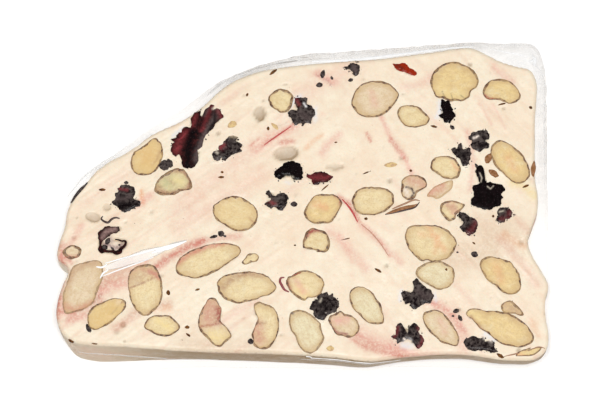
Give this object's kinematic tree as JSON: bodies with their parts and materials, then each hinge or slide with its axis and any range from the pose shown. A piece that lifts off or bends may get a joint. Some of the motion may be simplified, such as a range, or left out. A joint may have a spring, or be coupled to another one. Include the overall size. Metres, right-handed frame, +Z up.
{
  "type": "nougat bar",
  "caption": "Slab slice of soft white nougat with cut almonds and dried berries in its face, in a clear film wrap, lying flat.",
  "frame": {"origin": "middle of the wrapped bar's plan, at the surface it lies on", "axes": "+X along the bar's long side, +Y towards its back edge with the film's corner, +Z up out of the cut face"},
  "size_m": [0.164, 0.111, 0.0206],
  "materials": {
    "nougat": "soft matt with a slight sheen",
    "almond": "matt cut flesh",
    "berry": "wrinkled, moist gloss",
    "red_berry": "wrinkled, moist gloss",
    "film": "clear glossy film"
  },
  "bodies": {
    "root": {"nougat_slab": "nougat", "film_wrap": "film", "almond_01": "almond", "almond_02": "almond", "almond_03": "almond", "almond_04": "almond", "almond_05": "almond", "almond_06": "almond", "almond_07": "almond", "almond_08": "almond", "almond_09": "almond", "almond_10": "almond", "almond_11": "almond", "almond_12": "almond", "almond_13": "almond", "almond_14": "almond", "almond_15": "almond", "almond_16": "almond", "almond_17": "almond", "almond_18": "almond", "almond_19": "almond", "almond_20": "almond", "almond_21": "almond", "almond_22": "almond", "almond_23": "almond", "almond_24": "almond", "almond_25": "almond", "almond_26": "almond", "almond_27": "almond", "almond_28": "almond", "almond_29": "almond", "almond_30": "almond", "almond_31": "almond", "almond_32": "almond", "almond_33": "almond", "almond_34": "almond", "almond_35": "almond", "almond_36": "almond", "almond_37": "almond", "berry_01": "berry", "berry_02": "berry", "berry_03": "berry", "berry_04": "berry", "berry_05": "berry", "berry_06": "berry", "berry_07": "berry", "berry_08": "red_berry", "berry_09": "berry", "berry_10": "berry", "berry_11": "berry", "berry_12": "berry", "berry_13": "berry", "berry_14": "berry", "berry_15": "berry", "berry_16": "berry", "berry_17": "berry", "berry_18": "berry", "berry_19": "berry", "berry_20": "berry"}
  },
  "joints": []
}
